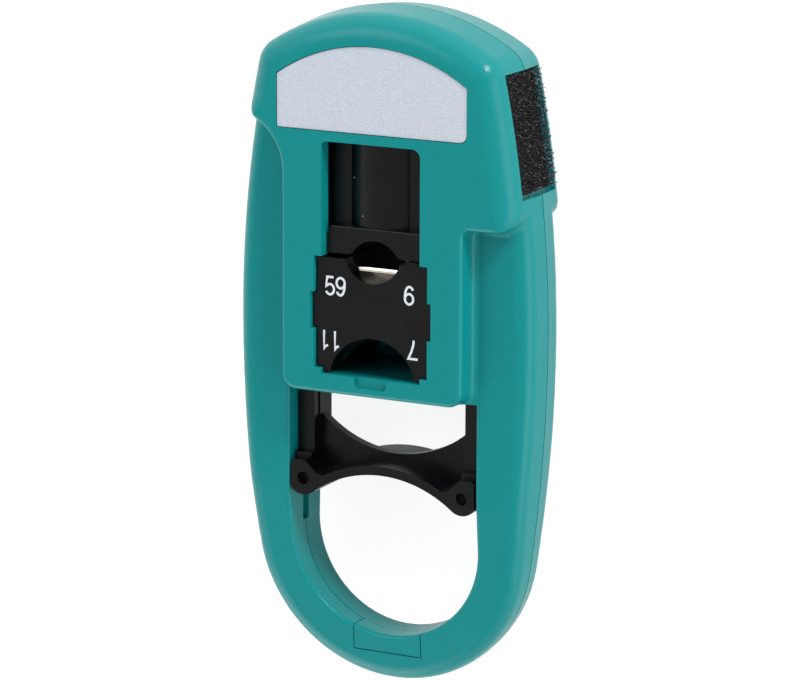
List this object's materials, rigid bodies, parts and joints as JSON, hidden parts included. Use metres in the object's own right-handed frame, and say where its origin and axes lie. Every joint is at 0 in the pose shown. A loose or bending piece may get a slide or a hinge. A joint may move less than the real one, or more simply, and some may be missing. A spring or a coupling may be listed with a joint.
{
  "type": "coaxial cable stripper",
  "caption": "Hand-held rotary coaxial cable stripper: domed housing with a finger loop, spring-loaded thumb plunger and a reversible blade cassette.",
  "frame": {"origin": "under the middle of the tool, on the plane that its back rests on, halfway along its length and its width", "axes": "+Y along the tool, from the finger loop to the domed head; +Z out of the front face, which carries the label; +X to the side with the hook pad"},
  "size_m": [0.0648, 0.1349, 0.024],
  "materials": {
    "teal_plastic": "fine moulded grain, satin",
    "black_plastic": "smooth moulded, half gloss",
    "label_film": "fine silver speckle",
    "hook_fabric": "moulded hooks",
    "blade_steel": "ground",
    "screw_steel": "plated",
    "spring_steel": "drawn wire"
  },
  "bodies": {
    "housing": {"front_shell": "teal_plastic", "back_shell": "teal_plastic", "label_plate": "label_film", "hook_pad": "hook_fabric", "shell_screw_1": "screw_steel", "shell_screw_2": "screw_steel", "shell_screw_3": "screw_steel", "shell_screw_4": "screw_steel", "return_spring": "spring_steel"},
    "plunger": {"plunger_front": "black_plastic", "plunger_back": "black_plastic", "jaw_barrel": "black_plastic", "saddle_screw_left": "screw_steel", "saddle_screw_right": "screw_steel"},
    "cassette": {"cassette_cover": "black_plastic", "cassette_spacer": "black_plastic", "cassette_base": "black_plastic", "front_blade": "blade_steel", "back_blade": "blade_steel", "cassette_screw_left": "screw_steel", "cassette_screw_right": "screw_steel"}
  },
  "joints": [
    {"name": "plunger_slide", "type": "slide", "parent": "housing", "child": "plunger", "axis": [0, 1, 0], "range_m": [0, 0.0072], "stiffness_N_per_m": 900, "springref_m": -0.012, "deforming": ["return_spring"]},
    {"name": "cassette_slide", "type": "slide", "parent": "housing", "child": "cassette", "axis": [0, 0, 1], "range_m": [0, 0.026]}
  ]
}
